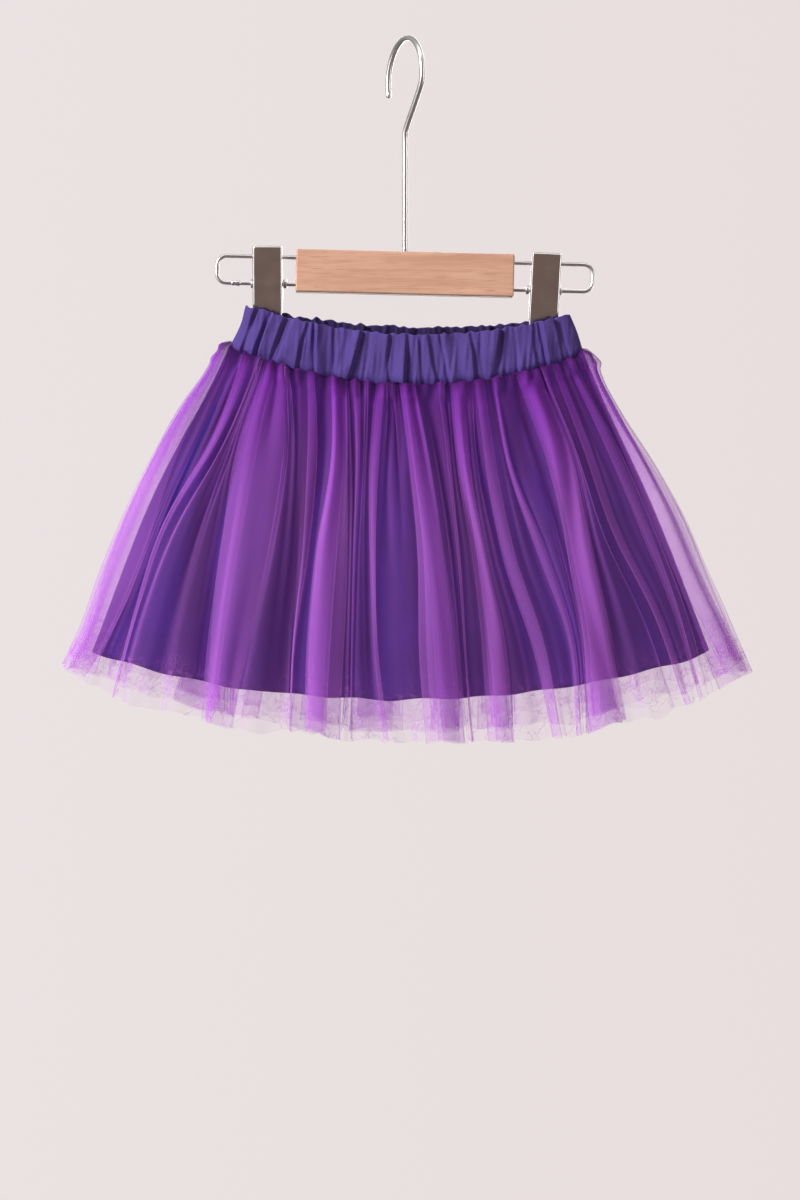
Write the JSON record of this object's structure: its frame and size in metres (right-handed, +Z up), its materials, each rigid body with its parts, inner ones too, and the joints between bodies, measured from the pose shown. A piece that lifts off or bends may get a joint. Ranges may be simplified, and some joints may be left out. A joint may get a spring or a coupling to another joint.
{
  "type": "tulle skirt on a clip hanger",
  "caption": "Child's short tulle skirt gathered on an elastic waistband over an A-line lining, hung by its back waistband from a wooden hanger with steel clips.",
  "frame": {"origin": "underside of the hook's crown, where the hanger hangs", "axes": "+X along the hanger, to the right as seen from the front, +Y from the skirt's front to its back, +Z up"},
  "size_m": [0.473, 0.1273, 0.4917],
  "materials": {
    "waistband": "matt jersey",
    "lining": "matt jersey",
    "tulle": "fine sheer net",
    "wood": "satin, close grain",
    "steel": "polished"
  },
  "bodies": {
    "root": {"waistband_front": "waistband", "waistband_back": "waistband", "lining_front": "lining", "lining_back": "lining", "tulle_under_front": "tulle", "tulle_under_back": "tulle", "tulle_top_front": "tulle", "tulle_top_back": "tulle", "hanger_hook": "steel", "hanger_bar": "wood", "hanger_loop_left": "steel", "hanger_loop_right": "steel", "clip_left_front": "steel", "clip_left_back": "steel", "clip_left_spring": "steel", "clip_right_front": "steel", "clip_right_back": "steel", "clip_right_spring": "steel"}
  },
  "joints": []
}
